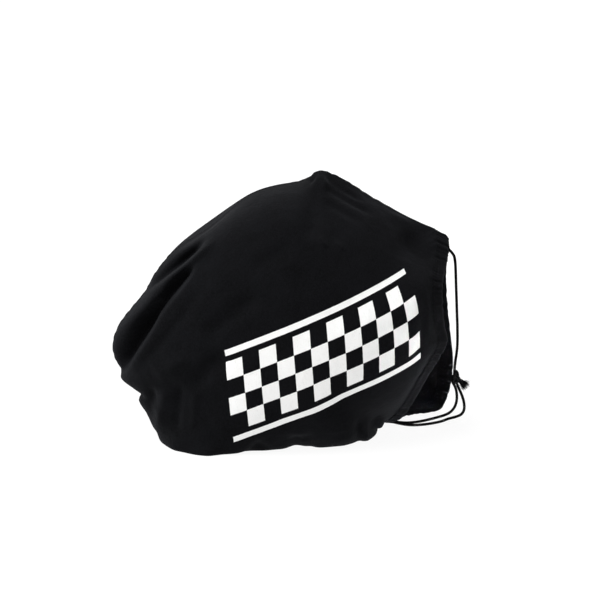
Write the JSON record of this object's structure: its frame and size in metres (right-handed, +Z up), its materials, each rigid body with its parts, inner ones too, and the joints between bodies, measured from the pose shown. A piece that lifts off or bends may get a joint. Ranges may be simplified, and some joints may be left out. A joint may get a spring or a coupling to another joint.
{
  "type": "motorcycle helmet bag",
  "caption": "Soft black drawstring bag for a motorcycle helmet, standing full on its side with its mouth open and the knotted cords hanging out.",
  "frame": {"origin": "middle of the bag's box, without the cords, on the face it rests on", "axes": "+X from the closed end towards the mouth, -Y out of the printed front panel, +Z up from the face it rests on"},
  "size_m": [0.396, 0.25, 0.2917],
  "materials": {
    "cloth": "soft brushed black cotton with a white screen print on the front panel",
    "hem_cloth": "the same black cotton, folded double and stitched",
    "cord": "black braided cord"
  },
  "bodies": {
    "root": {"front_panel": "cloth", "back_panel": "cloth", "front_hem": "hem_cloth", "back_hem": "hem_cloth", "upper_strand": "cord", "lower_strand_back": "cord", "lower_strand_front": "cord", "cord_knot": "cord"}
  },
  "joints": []
}
